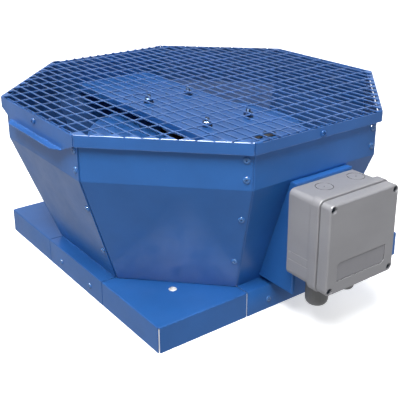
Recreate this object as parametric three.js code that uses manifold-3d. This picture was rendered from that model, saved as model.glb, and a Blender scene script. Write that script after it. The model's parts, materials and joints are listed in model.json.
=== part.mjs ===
// Roof exhaust fan with vertical discharge: folded sheet-steel casing on a square base,
// punched guard on top, external-rotor motor with a backward-curved impeller inside,
// and a terminal box on the front. Millimetres, +Z up, front faces -Y.
import * as THREE from 'three';
import { mergeVertices } from 'three/addons/utils/BufferGeometryUtils.js';
import Module from 'manifold-3d';

const wasm = await Module();
wasm.setup();

// ---- Driving dimensions ----
const SHEET = 1.5;
const GAP = 0.4;
const BASE_SIDE = 475;
const BASE_HEIGHT = 39.5;
const HOLE_PITCH = 330;
const HOLE_DIAMETER = 12;
const JOINT_OFFSET = 86.3;
const CASING_BOTTOM_HALF = 214.5;
const CASING_TOP_HALF = 277.5;
const BEND_HEIGHT = 217;
const CASING_TOP = 281.5;
const GUARD_HALF = 284.5;
const GRILLE_HALF = 279.5;
const GUARD_TOP = 284.5;
const GUARD_FLANGE = 17;
const GUARD_GRIP_DEPTH = 31;
const GUARD_LIP = 10.5;
const GUARD_SCREW_HEIGHT = 273.7;
const GUARD_SCREW_HEAD = 2.8;
const SCREW_SEAT = 0.3;
const BRIDGE_HALF_WIDTH = 75;
const BRIDGE_SIDE_DEPTH = 11;
const BRIDGE_END_DEPTH = 20;
const BRIDGE_TOP = 239.5;
const BOLT_X = 40.5;
const BOLT_Y = 82;
const IMPELLER_RADIUS = 179;
const EYE_RADIUS = 124;
const EYE_EDGE = 88;
const EYE_TOP = 97;
const SHROUD_RISE = 34;
const THROAT_RADIUS = 117;
const BLADE_COUNT = 7;
const BACK_PLATE_TOP = 204.5;
const BOX_X = 1.5;
const BOX_Z = 147.5;
const BOX_HALF = 64;
const BOX_BACK = 288.3;
const BOX_RIM_START = 330;
const BOX_RIM_END = 346;
const LID_BACK = 348.8;
const LID_FRONT = 364.5;
const LID_SCREW_OFFSET = 57.5;
const BRACKET_LEFT = -48.3;
const BRACKET_RIGHT = 58.8;
const BRACKET_FRONT = 287.9;
const BRACKET_BOTTOM = 48;
const BRACKET_TOP = 213.5;
const LEAD_RADIUS = 4;
const LEAD_EXIT_HEIGHT = 190;
const GLANDS = [
  { x: -21, nutRadius: 16.2, bottom: 37 },
  { x: 37, nutRadius: 12.6, bottom: 40.5 },
];
const GLAND_Y = -309;
// The origin is below the middle of the whole object's box, so the casing's axis sits behind it.
const AXIS_Y = (LID_FRONT - GUARD_HALF - SCREW_SEAT - GUARD_SCREW_HEAD) / 2;

const OCTAGON = Math.tan(Math.PI / 8);
const SLOPE = (CASING_TOP_HALF - CASING_BOTTOM_HALF) / (BEND_HEIGHT - BASE_HEIGHT);
const SLOPE_ANGLE = Math.atan(SLOPE);

// ---- Materials ----
const finish = (color, roughness, metalness) => ({ color, roughness, metalness });
const BLUE_COAT = finish(0x3465ad, 0.42, 0.1);
const GALVANISED = finish(0xa9adb1, 0.45, 0.85);
const STEEL = finish(0x8d9196, 0.35, 0.9);
const BOX_PLASTIC = finish(0xa9aab0, 0.5, 0);
const DARK_PLASTIC = finish(0x505356, 0.6, 0);
const RUBBER = finish(0x1d1e20, 0.85, 0);
const COPPER = finish(0xb06a3a, 0.4, 0.8);
const BLACK_COAT = finish(0x232528, 0.55, 0.2);

const model = new THREE.Group();
const fan = new THREE.Group();
fan.position.y = AXIS_Y;
model.add(fan);

function addPart(name, geometry, look) {
  const mesh = new THREE.Mesh(geometry, new THREE.MeshStandardMaterial(look));
  mesh.name = name;
  fan.add(mesh);
  return mesh;
}

// ---- Solids ----
function toSolid(geometry) {
  const bare = geometry.clone();
  bare.deleteAttribute('normal');
  bare.deleteAttribute('uv');
  const merged = mergeVertices(bare, 1e-4);
  const vertProperties = new Float32Array(merged.attributes.position.array);
  const triVerts = new Uint32Array(merged.index.array);
  return new wasm.Manifold(new wasm.Mesh({ numProp: 3, vertProperties, triVerts }));
}

function toGeometry(solid) {
  const mesh = solid.getMesh();
  const geometry = new THREE.BufferGeometry();
  const position = new THREE.BufferAttribute(Float32Array.from(mesh.vertProperties), 3);
  geometry.setAttribute('position', position);
  geometry.setIndex(new THREE.BufferAttribute(Uint32Array.from(mesh.triVerts), 1));
  return geometry;
}

const asSolid = (piece) => (piece.isBufferGeometry ? toSolid(piece) : piece);
const join = (first, ...others) => others.reduce((sum, other) => sum.add(asSolid(other)), asSolid(first));
const cut = (first, ...tools) => tools.reduce((rest, tool) => rest.subtract(asSolid(tool)), asSolid(first));
const turnedTo = (piece, degrees) => asSolid(piece).rotate([0, 0, degrees]);

function outline(points) {
  return new THREE.Shape(points.map(([x, y]) => new THREE.Vector2(x, y)));
}

// A flat outline in the XY plane made into a solid between two heights.
function upright(shape, bottom, top, curveSegments = 12) {
  const geometry = new THREE.ExtrudeGeometry(shape, {
    depth: top - bottom, bevelEnabled: false, curveSegments,
  });
  return geometry.translate(0, 0, bottom);
}

// A profile drawn as (outward distance, height), stretched along X between two places.
// Outward is -Y, the direction of the front.
function folded(points, left, right) {
  const geometry = new THREE.ExtrudeGeometry(outline(points), {
    depth: right - left, bevelEnabled: false,
  });
  const basis = new THREE.Matrix4().makeBasis(
    new THREE.Vector3(0, -1, 0), new THREE.Vector3(0, 0, 1), new THREE.Vector3(-1, 0, 0),
  );
  return geometry.applyMatrix4(basis).translate(right, 0, 0);
}

// An outline in the XZ plane, stretched outward (towards -Y) between two distances.
function outward(shape, near, far, curveSegments = 5) {
  const geometry = new THREE.ExtrudeGeometry(shape, {
    depth: far - near, bevelEnabled: false, curveSegments,
  });
  return geometry.rotateX(Math.PI / 2).translate(0, -near, 0);
}

function block(left, right, back, front, bottom, top) {
  const geometry = new THREE.BoxGeometry(right - left, back - front, top - bottom);
  return geometry.translate((left + right) / 2, (back + front) / 2, (bottom + top) / 2);
}

// A turned solid about the vertical axis, from (radius, height) pairs that form a closed loop.
function turned(pairs, segments = 32) {
  const loop = pairs.map(([radius, height]) => new THREE.Vector2(radius, height));
  loop.push(loop[0].clone());
  let area = 0;
  for (let i = 0; i + 1 < loop.length; i += 1) {
    area += loop[i].x * loop[i + 1].y - loop[i + 1].x * loop[i].y;
  }
  if (area < 0) loop.reverse();
  return new THREE.LatheGeometry(loop, segments).rotateX(Math.PI / 2);
}

function rod(radius, bottom, top, segments = 16) {
  const geometry = new THREE.CylinderGeometry(radius, radius, top - bottom, segments);
  return geometry.rotateX(Math.PI / 2).translate(0, 0, (bottom + top) / 2);
}

// A rod along Y between two outward distances.
function crossRod(radius, near, far, x, z, segments = 16) {
  const geometry = new THREE.CylinderGeometry(radius, radius, far - near, segments);
  return geometry.translate(x, -(near + far) / 2, z);
}

function roundedSquare(half, corner, centreX = 0, centreY = 0) {
  const shape = new THREE.Shape();
  const inner = half - corner;
  shape.absarc(centreX + inner, centreY + inner, corner, 0, Math.PI / 2, false);
  shape.absarc(centreX - inner, centreY + inner, corner, Math.PI / 2, Math.PI, false);
  shape.absarc(centreX - inner, centreY - inner, corner, Math.PI, 1.5 * Math.PI, false);
  shape.absarc(centreX + inner, centreY - inner, corner, 1.5 * Math.PI, 2 * Math.PI, false);
  shape.closePath();
  return shape;
}

// ---- Casing panels ----
// Outward distance of the casing's sloped wall at a height, for a depth below its outer face.
function slopedWall(height, depth = 0) {
  return CASING_BOTTOM_HALF + (height - BASE_HEIGHT) * SLOPE - depth / Math.cos(SLOPE_ANGLE);
}

// Points of the wall at a depth, from the top edge down to a lower height.
function wallLine(depth, bottom) {
  const vertical = CASING_TOP_HALF - depth;
  const bend = BASE_HEIGHT + (vertical - slopedWall(BASE_HEIGHT, depth)) / SLOPE;
  return [[vertical, CASING_TOP], [vertical, bend], [slopedWall(bottom, depth), bottom]];
}

function wallSheet(outerDepth, innerDepth, bottom, left, right) {
  const loop = [...wallLine(outerDepth, bottom), ...wallLine(innerDepth, bottom).reverse()];
  return toSolid(folded(loop, left, right));
}

// The wedge of one octagon side, seen from above, with half a gap left at each seam.
function sideWedge() {
  const near = 150;
  const far = 330;
  const trim = GAP / 2;
  const points = [
    [-near * OCTAGON + trim, -near], [-far * OCTAGON + trim, -far],
    [far * OCTAGON - trim, -far], [near * OCTAGON - trim, -near],
  ];
  return toSolid(upright(outline(points), 0, 320));
}

// The seam flange: a strip joined to the panel's left end and bent behind its left neighbour.
function seamFlange(bottom) {
  const width = 12;
  const outerDepth = SHEET + GAP;
  const innerDepth = 2 * SHEET + GAP;
  const normal = new THREE.Vector2(Math.sin(Math.PI / 8), -Math.cos(Math.PI / 8));
  const across = new THREE.Vector2(-normal.y, normal.x);
  const strip = (from, to) => outline([[150, from], [320, from], [320, to], [150, to]].map(([far, side]) => [
    normal.x * far - across.x * side, normal.y * far - across.y * side,
  ]));
  const neighbour = wallSheet(outerDepth, innerDepth, bottom, 0, 140)
    .intersect(toSolid(upright(strip(-0.4, width), 0, 320)))
    .rotate([0, 0, -45]);
  const own = wallSheet(SHEET / 2, innerDepth, bottom, -140, 0);
  const ownNormal = new THREE.Vector2(-normal.x, normal.y);
  const ownAcross = new THREE.Vector2(-ownNormal.y, ownNormal.x);
  const ownStrip = outline([[150, 0.2], [320, 0.2], [320, 3], [150, 3]].map(([far, side]) => [
    ownNormal.x * far + ownAcross.x * side, ownNormal.y * far + ownAcross.y * side,
  ]));
  return own.intersect(toSolid(upright(ownStrip, 0, 320))).add(neighbour);
}

function diagonalPanel() {
  const bottom = BASE_HEIGHT + 1;
  const wall = wallSheet(0, SHEET, bottom, -140, 140).intersect(sideWedge());
  return wall.add(seamFlange(bottom + 1));
}

function sidePanel() {
  const half = JOINT_OFFSET - GAP / 2;
  const skirtOuter = BASE_SIDE / 2;
  const skirtInner = skirtOuter - SHEET;
  const flangeUnder = BASE_HEIGHT - SHEET;
  const inner = wallLine(SHEET, flangeUnder);
  const profile = [
    ...wallLine(0, BASE_HEIGHT), [skirtOuter, BASE_HEIGHT], [skirtOuter, 0], [skirtInner, 0],
    [skirtInner, flangeUnder], ...inner.reverse(),
  ];
  const middle = toSolid(folded(profile, -half, half));
  const bottom = BASE_HEIGHT + GAP;
  const wall = wallSheet(0, SHEET, bottom, -140, 140).intersect(sideWedge());
  const panel = wall.add(middle).add(seamFlange(bottom + 1.5));
  return cut(panel, crossRod(2.9, 260, 290, 0, GUARD_SCREW_HEIGHT, 10));
}

function leadHole(radius) {
  const hole = new THREE.CylinderGeometry(radius, radius, 16, 20);
  hole.rotateX(SLOPE_ANGLE);
  return hole.translate(0, -slopedWall(LEAD_EXIT_HEIGHT), LEAD_EXIT_HEIGHT);
}

function buildCasing() {
  const sideNames = ['front_panel', 'right_panel', 'rear_panel', 'left_panel'];
  const diagonalNames = [
    'front_right_panel', 'rear_right_panel', 'rear_left_panel', 'front_left_panel',
  ];
  for (let i = 0; i < 4; i += 1) {
    let side = sidePanel();
    if (i === 0) side = cut(side, leadHole(7.9));
    addPart(sideNames[i], toGeometry(side), BLUE_COAT).rotation.z = i * Math.PI / 2;
    const diagonal = addPart(diagonalNames[i], toGeometry(diagonalPanel()), BLUE_COAT);
    diagonal.rotation.z = (i + 0.5) * Math.PI / 2;
  }
}

// ---- Base ----
function baseCorner() {
  const outer = BASE_SIDE / 2;
  const inner = JOINT_OFFSET + GAP / 2;
  const hidden = 196;
  const notch = 2.4;
  const plate = outline([
    [inner, -outer], [outer, -outer], [outer, -inner], [hidden, -inner], [inner, -hidden],
  ]);
  const under = BASE_HEIGHT - SHEET;
  const hole = new THREE.Path();
  hole.absarc(HOLE_PITCH / 2, -HOLE_PITCH / 2, HOLE_DIAMETER / 2, 0, 2 * Math.PI, true);
  plate.holes.push(hole);
  const skirtA = block(inner, outer - notch, -outer + SHEET, -outer, 0, BASE_HEIGHT);
  const skirtB = block(outer - SHEET, outer, -inner, -outer + notch, 0, BASE_HEIGHT);
  return join(upright(plate, under, BASE_HEIGHT, 7), skirtA, skirtB);
}

function buildBase() {
  const names = ['base_corner_front_right', 'base_corner_rear_right', 'base_corner_rear_left',
    'base_corner_front_left'];
  names.forEach((name, i) => {
    addPart(name, toGeometry(baseCorner()), BLUE_COAT).rotation.z = i * Math.PI / 2;
  });
  const half = BASE_SIDE / 2 - SHEET - 0.6;
  const plate = outline([[-half, -half], [half, -half], [half, half], [-half, half]]);
  const inletHole = new THREE.Path();
  inletHole.absarc(0, 0, THROAT_RADIUS + 26, 0, 2 * Math.PI, true);
  plate.holes.push(inletHole);
  for (const sx of [-1, 1]) {
    for (const sy of [-1, 1]) {
      const hole = new THREE.Path();
      hole.absarc(sx * HOLE_PITCH / 2, sy * HOLE_PITCH / 2, HOLE_DIAMETER / 2, 0, 2 * Math.PI, true);
      plate.holes.push(hole);
    }
  }
  const top = BASE_HEIGHT - SHEET - GAP;
  addPart('base_plate', upright(plate, top - SHEET, top, 8), GALVANISED);
}

// ---- Inlet cone ----
function buildInletCone() {
  const foot = BASE_HEIGHT - SHEET - 0.1;
  const rise = 44;
  const narrowing = 26;
  const steps = 5;
  const inner = [];
  const outer = [];
  for (let i = 0; i <= steps; i += 1) {
    const angle = (i / steps) * Math.PI / 2;
    const radius = THROAT_RADIUS + narrowing * (1 - Math.sin(angle));
    const height = foot + rise * (1 - Math.cos(angle));
    const slope = Math.atan2(rise * Math.sin(angle), narrowing * Math.cos(angle));
    inner.push([radius, height]);
    outer.push([radius + SHEET * Math.sin(slope), height + SHEET * Math.cos(slope)]);
  }
  const lip = foot + rise + 10;
  const loop = [
    ...inner, [THROAT_RADIUS, lip], [THROAT_RADIUS + SHEET, lip],
    ...outer.reverse(), [THROAT_RADIUS + 40, foot + SHEET], [THROAT_RADIUS + 40, foot],
  ];
  addPart('inlet_cone', turned(loop, 32), GALVANISED);
}

// ---- Guard ----
function octagonPoints(half) {
  const corner = half * OCTAGON;
  return [
    [corner, -half], [half, -corner], [half, corner], [corner, half],
    [-corner, half], [-half, corner], [-half, -corner], [-corner, -half],
  ];
}

function guardGrille() {
  const columnPitch = 33;
  const rowPitch = 74.4;
  const bar = 2.6;
  const edge = GRILLE_HALF - 3;
  const diagonalEdge = GRILLE_HALF * Math.SQRT2 - 5;
  const columns = Math.floor(edge / columnPitch);
  const rows = Math.ceil(edge / rowPitch);
  const cells = [];
  for (let column = -columns; column <= columns; column += 1) {
    const left = Math.max((column - 0.5) * columnPitch + bar / 2, -edge);
    const right = Math.min((column + 0.5) * columnPitch - bar / 2, edge);
    const reach = Math.min(edge, diagonalEdge - Math.max(-left, right));
    for (let row = -rows; row < rows; row += 1) {
      const front = Math.max(row * rowPitch + bar / 2, -reach);
      const back = Math.min((row + 1) * rowPitch - bar / 2, reach);
      if (back - front > 5) cells.push(block(left, right, back, front, GUARD_TOP - 5, GUARD_TOP + 5));
    }
  }
  return cut(upright(outline(octagonPoints(GRILLE_HALF)), GUARD_TOP - SHEET, GUARD_TOP), ...cells);
}

function guardFlange(withGrip) {
  const half = GUARD_HALF * OCTAGON - 0.8;
  const low = GUARD_TOP - GUARD_FLANGE;
  const near = GUARD_HALF - SHEET;
  if (!withGrip) return [block(-half, half, -near, -GUARD_HALF, low, GUARD_TOP - 0.5)];
  const gripHalf = 86;
  const gripLow = GUARD_TOP - GUARD_GRIP_DEPTH;
  const plate = outline([
    [-half, GUARD_TOP - 0.5], [-half, low], [-gripHalf, gripLow], [gripHalf, gripLow], [half, low],
    [half, GUARD_TOP - 0.5],
  ]);
  const lipEnd = gripHalf - 18;
  const lip = outline([
    [-gripHalf, -near], [-gripHalf, -GUARD_HALF], [-lipEnd, -GUARD_HALF - GUARD_LIP],
    [lipEnd, -GUARD_HALF - GUARD_LIP], [gripHalf, -GUARD_HALF], [gripHalf, -near],
  ]);
  return [outward(plate, near, GUARD_HALF), upright(lip, gripLow, gripLow + SHEET)];
}

function buildGuard() {
  addPart('guard', toGeometry(guardGrille()), BLUE_COAT);

  const border = upright(outline(octagonPoints(GUARD_HALF)), GUARD_TOP - SHEET, GUARD_TOP);
  const window = upright(outline(octagonPoints(GRILLE_HALF + 0.3)), GUARD_TOP - 5, GUARD_TOP + 5);
  let rim = cut(border, window);
  for (let side = 0; side < 8; side += 1) {
    for (const piece of guardFlange(side % 4 === 2)) {
      rim = rim.add(turnedTo(piece, side * 45));
    }
  }
  for (let side = 0; side < 4; side += 1) {
    const hole = crossRod(2.9, 275, 290, 0, GUARD_SCREW_HEIGHT, 10);
    rim = cut(rim, turnedTo(hole, side * 90));
  }
  addPart('guard_rim', toGeometry(rim), BLUE_COAT);

  const names = ['guard_screw_front', 'guard_screw_right', 'guard_screw_rear', 'guard_screw_left'];
  names.forEach((name, side) => {
    const seat = GUARD_HALF + SCREW_SEAT;
    const head = crossRod(4.6, seat, seat + GUARD_SCREW_HEAD, 0, GUARD_SCREW_HEIGHT, 12);
    const shank = crossRod(2.4, 270, seat + 1, 0, GUARD_SCREW_HEIGHT, 8);
    addPart(name, toGeometry(join(head, shank)), BLUE_COAT).rotation.z = side * Math.PI / 2;
  });
}

// ---- Motor bridge ----
function buildBridge() {
  const reach = CASING_TOP_HALF - SHEET - GAP;
  const under = BRIDGE_TOP - 2;
  const sideLow = BRIDGE_TOP - BRIDGE_SIDE_DEPTH;
  const endLow = BRIDGE_TOP - BRIDGE_END_DEPTH;
  const half = BRIDGE_HALF_WIDTH;
  const cheekEnd = reach - 3;
  const pieces = [
    block(-half, -half + 2, cheekEnd, -cheekEnd, sideLow, BRIDGE_TOP),
    block(half - 2, half, cheekEnd, -cheekEnd, sideLow, BRIDGE_TOP),
    block(-half + 4, half - 4, reach, reach - 2, endLow, BRIDGE_TOP),
    block(-half + 4, half - 4, -reach + 2, -reach, endLow, BRIDGE_TOP),
  ];
  const plate = block(-half, half, reach, -reach, under, BRIDGE_TOP);
  const holes = [new THREE.CylinderGeometry(8, 8, 10, 20).rotateX(Math.PI / 2).translate(8, -169, under)];
  for (const [x, y] of boltPlaces()) {
    holes.push(rod(4.4, under - 2, BRIDGE_TOP + 2, 12).translate(x, y, 0));
  }
  addPart('motor_bridge', toGeometry(cut(join(plate, ...pieces), ...holes)), BLUE_COAT);

  const mountTop = under - 0.3;
  const mount = block(-58, 58, 98, -98, mountTop - 4, mountTop);
  const mountHole = rod(4.4, mountTop - 6, mountTop + 2, 12);
  const mountHoles = boltPlaces().map(([x, y]) => mountHole.clone().translate(x, y, 0));
  addPart('motor_plate', toGeometry(cut(toSolid(mount), ...mountHoles)), GALVANISED);

  boltPlaces().forEach(([x, y], i) => {
    const seat = BRIDGE_TOP + 0.3;
    const washer = rod(8.5, seat, seat + 1.6, 20);
    const nut = rod(7.5, seat + 1.2, seat + 8.1, 6);
    const stud = rod(3.9, mountTop - 9, seat + 13.6, 12);
    addPart(`motor_bolt_${i + 1}`, toGeometry(join(washer, nut, stud).translate([x, y, 0])), STEEL);
  });
}

function boltPlaces() {
  return [[-BOLT_X, -BOLT_Y], [BOLT_X, -BOLT_Y], [BOLT_X, BOLT_Y], [-BOLT_X, BOLT_Y]];
}

// ---- Motor: the stator hangs from the bridge and the cup-shaped rotor turns round it ----
function buildMotor() {
  const flangeTop = BRIDGE_TOP - 2 - 0.3 - 4 - 0.3;
  const carrier = [
    [11.2, 144], [16.6, 144], [16.6, 202], [40, 205], [40, 210], [60, 213], [60, flangeTop],
    [0, flangeTop], [0, 222], [11.2, 222],
  ];
  addPart('stator_carrier', turned(carrier, 24), GALVANISED);
  addPart('stator_stack', turned([[17, 152], [56, 152], [56, 188], [17, 188]], 24), STEEL);
  addPart('winding_upper', turned([[24, 188.4], [52, 188.4], [50, 198], [28, 198]], 20), COPPER);
  addPart('winding_lower', turned([[24, 151.6], [52, 151.6], [50, 143], [28, 143]], 20), COPPER);
  addPart('bearing_lower', turned([[5.4, 145], [10.8, 145], [10.8, 152], [5.4, 152]], 16), STEEL);
  addPart('bearing_upper', turned([[5.4, 205], [10.8, 205], [10.8, 212], [5.4, 212]], 16), STEEL);

  const shell = [
    [0, 135], [62, 135], [68, 141], [68, 196.5], [82, 199.5], [82, 202.6], [66, 202.6], [64.8, 200],
    [64.8, 141.5], [61, 138.5], [0, 138.5],
  ];
  addPart('rotor_shell', turned(shell, 28), BLACK_COAT);
  addPart('rotor_cage', turned([[57.2, 150], [64.4, 150], [64.4, 190], [57.2, 190]], 28), STEEL);
  addPart('rotor_shaft', rod(5, 138.9, 214, 12), STEEL);
}

// ---- Impeller ----
function shroudLine(depth) {
  const steps = 4;
  const line = [[EYE_RADIUS + depth, EYE_EDGE], [EYE_RADIUS + depth, EYE_TOP]];
  for (let i = 1; i <= steps; i += 1) {
    const angle = (i / steps) * Math.PI / 2;
    const radius = EYE_RADIUS + (IMPELLER_RADIUS - EYE_RADIUS) * (1 - Math.cos(angle));
    const slope = Math.atan2(SHROUD_RISE * Math.cos(angle), (IMPELLER_RADIUS - EYE_RADIUS) * Math.sin(angle));
    const height = EYE_TOP + SHROUD_RISE * Math.sin(angle);
    line.push([radius + depth * Math.sin(slope), height - depth * Math.cos(slope)]);
  }
  return line;
}

function bladeShape() {
  const innerRadius = EYE_RADIUS - 9;
  const outerRadius = IMPELLER_RADIUS - 1;
  const sweep = THREE.MathUtils.degToRad(38);
  const steps = 8;
  const near = [];
  const far = [];
  for (let i = 0; i <= steps; i += 1) {
    const t = i / steps;
    const radius = innerRadius + (outerRadius - innerRadius) * t;
    const angle = -sweep * (0.55 * t + 0.45 * t * t);
    const half = 1 / radius;
    near.push([radius * Math.cos(angle - half), radius * Math.sin(angle - half)]);
    far.push([radius * Math.cos(angle + half), radius * Math.sin(angle + half)]);
  }
  return outline([...near, ...far.reverse()]);
}

function buildImpeller() {
  const backTop = BACK_PLATE_TOP;
  const backUnder = backTop - SHEET;
  addPart('impeller_back_plate', turned([
    [60.8, backUnder], [IMPELLER_RADIUS, backUnder], [IMPELLER_RADIUS, backTop], [60.8, backTop],
  ], 32), BLUE_COAT);
  const shroud = [...shroudLine(0), ...shroudLine(SHEET).reverse()];
  addPart('impeller_shroud', turned(shroud, 32), BLUE_COAT);
  const passage = shroudLine(-GAP).slice(2);
  const bladeInner = EYE_RADIUS - 11;
  const bladeFoot = EYE_TOP + 4;
  const envelope = toSolid(turned([
    [bladeInner, bladeFoot], [EYE_RADIUS - GAP, bladeFoot], ...passage,
    [IMPELLER_RADIUS - GAP, backUnder - GAP], [bladeInner, backUnder - GAP],
  ], 32));
  const blade = toSolid(upright(bladeShape(), EYE_EDGE, backTop)).intersect(envelope);
  for (let i = 0; i < BLADE_COUNT; i += 1) {
    const mesh = addPart(`impeller_blade_${i + 1}`, toGeometry(blade), BLUE_COAT);
    mesh.rotation.z = (i / BLADE_COUNT) * 2 * Math.PI;
  }
}

// ---- Terminal box and its bracket ----
function buildBracket() {
  const front = BRACKET_FRONT;
  const cheek = [
    [slopedWall(BRACKET_BOTTOM) + 0.6, BRACKET_BOTTOM], [front, BRACKET_BOTTOM], [front, BRACKET_TOP],
    [slopedWall(BRACKET_TOP) + 0.6, BRACKET_TOP],
  ];
  const back = slopedWall(BRACKET_TOP) + 0.6;
  const plateBottom = 92;
  const lip = 5;
  const bracket = join(
    folded(cheek, BRACKET_LEFT, BRACKET_LEFT + SHEET),
    folded(cheek, BRACKET_RIGHT - SHEET, BRACKET_RIGHT),
    block(BRACKET_LEFT, BRACKET_RIGHT, -back, -front, BRACKET_TOP - SHEET, BRACKET_TOP),
    block(BRACKET_LEFT, BRACKET_RIGHT, -front + SHEET, -front, plateBottom, BRACKET_TOP),
    block(BRACKET_LEFT, BRACKET_LEFT + lip, -front + SHEET, -front, BRACKET_BOTTOM, BRACKET_TOP),
    block(BRACKET_RIGHT - lip, BRACKET_RIGHT, -front + SHEET, -front, BRACKET_BOTTOM, BRACKET_TOP),
  );
  addPart('terminal_bracket', toGeometry(cut(bracket, crossRod(9, 280, 295, 0, 184, 20))), BLUE_COAT);
}

// A square cavity whose corners are left solid for the screw pillars.
function cavityShape(half, pillar) {
  const inner = half - pillar;
  return outline([
    [inner, half], [-inner, half], [-inner, inner], [-half, inner], [-half, -inner], [-inner, -inner],
    [-inner, -half], [inner, -half], [inner, -inner], [half, -inner], [half, inner], [inner, inner],
  ].map(([x, z]) => [x + BOX_X, z + BOX_Z]));
}

function lidScrewPlaces() {
  const places = [];
  for (const sx of [-1, 1]) {
    for (const sz of [-1, 1]) places.push([BOX_X + sx * LID_SCREW_OFFSET, BOX_Z + sz * LID_SCREW_OFFSET]);
  }
  return places;
}

function buildTerminalBox() {
  const wall = 3;
  let body = join(
    outward(roundedSquare(BOX_HALF, 12, BOX_X, BOX_Z), BOX_BACK, BOX_RIM_START + 1),
    outward(roundedSquare(BOX_HALF + 2, 13, BOX_X, BOX_Z), BOX_RIM_START, BOX_RIM_END),
  );
  body = cut(
    body,
    outward(cavityShape(BOX_HALF - wall, 13), BOX_BACK + wall, BOX_RIM_END + 5),
    crossRod(6.6, BOX_BACK - 5, BOX_BACK + 8, 0, 182.6, 20),
    ...GLANDS.map(({ x, nutRadius }) => rod(nutRadius * 0.76, 75, 95, 16).translate(x, GLAND_Y, 0)),
    ...lidScrewPlaces().map(([x, z]) => crossRod(2.4, BOX_RIM_END - 14, BOX_RIM_END + 5, x, z, 8)),
  );
  addPart('terminal_box', toGeometry(body), BOX_PLASTIC);

  const gasketOuter = roundedSquare(BOX_HALF - 2.2, 9, BOX_X, BOX_Z);
  const gasket = cut(
    toSolid(outward(gasketOuter, BOX_RIM_END + 0.3, LID_BACK - 0.3)),
    outward(cavityShape(BOX_HALF - 6, 10), BOX_RIM_END - 2, LID_BACK + 2),
    ...lidScrewPlaces().map(([x, z]) => crossRod(2.6, BOX_RIM_END - 2, LID_BACK + 2, x, z, 8)),
  );
  addPart('lid_gasket', toGeometry(gasket), RUBBER);

  const labelHalf = 46.2;
  const label = new THREE.Shape([
    [-labelHalf, -46.8], [labelHalf, -46.8], [labelHalf, -19.5], [-labelHalf, -19.5],
  ].map(([x, z]) => new THREE.Vector2(x + BOX_X, z + BOX_Z)));
  const lid = cut(
    toSolid(outward(roundedSquare(BOX_HALF, 10, BOX_X, BOX_Z), LID_BACK, LID_FRONT)),
    outward(cavityShape(BOX_HALF - wall, 12), LID_BACK - 2, LID_FRONT - wall),
    outward(label, LID_FRONT - 0.8, LID_FRONT + 2),
    ...lidScrewPlaces().map(([x, z]) => crossRod(2.4, LID_BACK - 2, LID_FRONT + 2, x, z, 8)),
    ...lidScrewPlaces().map(([x, z]) => crossRod(4.3, LID_FRONT - 6, LID_FRONT + 2, x, z, 12)),
  );
  addPart('terminal_box_lid', toGeometry(lid), BOX_PLASTIC);

  lidScrewPlaces().forEach(([x, z], i) => {
    const head = crossRod(3.9, LID_FRONT - 5.6, LID_FRONT - 2.2, x, z, 12);
    const shank = crossRod(2, BOX_RIM_END - 10, LID_FRONT - 4, x, z, 8);
    addPart(`lid_screw_${i + 1}`, toGeometry(join(head, shank)), STEEL);
  });
}

function buildTerminals() {
  const back = -BOX_BACK - 3.4;
  const pieces = [block(-30, 33, back, back - 8, 142, 164)];
  for (let i = 0; i < 5; i += 1) {
    const left = -28.5 + i * 12.4;
    pieces.push(block(left, left + 10, back - 7, back - 18, 145, 161));
  }
  addPart('terminal_block', toGeometry(join(...pieces)), BOX_PLASTIC);
  const capacitor = new THREE.CylinderGeometry(13, 13, 64, 24).rotateZ(Math.PI / 2);
  addPart('run_capacitor', capacitor.translate(3, back - 15, 124), BLACK_COAT);
}

// ---- Cable glands: a threaded body in the box floor and a domed nut that screws onto it ----
function buildGlands() {
  GLANDS.forEach(({ x, nutRadius, bottom }, i) => {
    const floor = BOX_Z - BOX_HALF;
    const bore = nutRadius * 0.42;
    const thread = nutRadius * 0.74;
    const neck = nutRadius * 0.66;
    const top = floor - 0.3;
    const hexBottom = top - 9;
    const insertLow = hexBottom - 12;
    const body = join(
      turned([[bore, insertLow], [neck, insertLow], [neck, hexBottom + 1], [bore, hexBottom + 1]], 16),
      turned([[bore, hexBottom], [nutRadius * 0.98, hexBottom], [nutRadius * 0.98, top], [bore, top]], 6),
      turned([[bore, top - 1], [thread, top - 1], [thread, floor + 9], [bore, floor + 9]], 16),
    );
    const place = [x, GLAND_Y, 0];
    addPart(`gland_body_${i + 1}`, toGeometry(body.translate(place)), DARK_PLASTIC);

    const nutTop = hexBottom - 0.4;
    const dome = 8;
    const nut = [
      [neck + 0.4, nutTop], [neck + 0.4, hexBottom - 13], [bore, hexBottom - 15], [bore, bottom],
      [nutRadius * 0.8, bottom], [nutRadius * 0.95, bottom + dome * 0.4], [nutRadius, bottom + dome],
      [nutRadius, nutTop],
    ];
    const nutMesh = addPart(`gland_nut_${i + 1}`, turned(nut, 16), DARK_PLASTIC);
    nutMesh.position.set(x, GLAND_Y, 0);
  });
}

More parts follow.
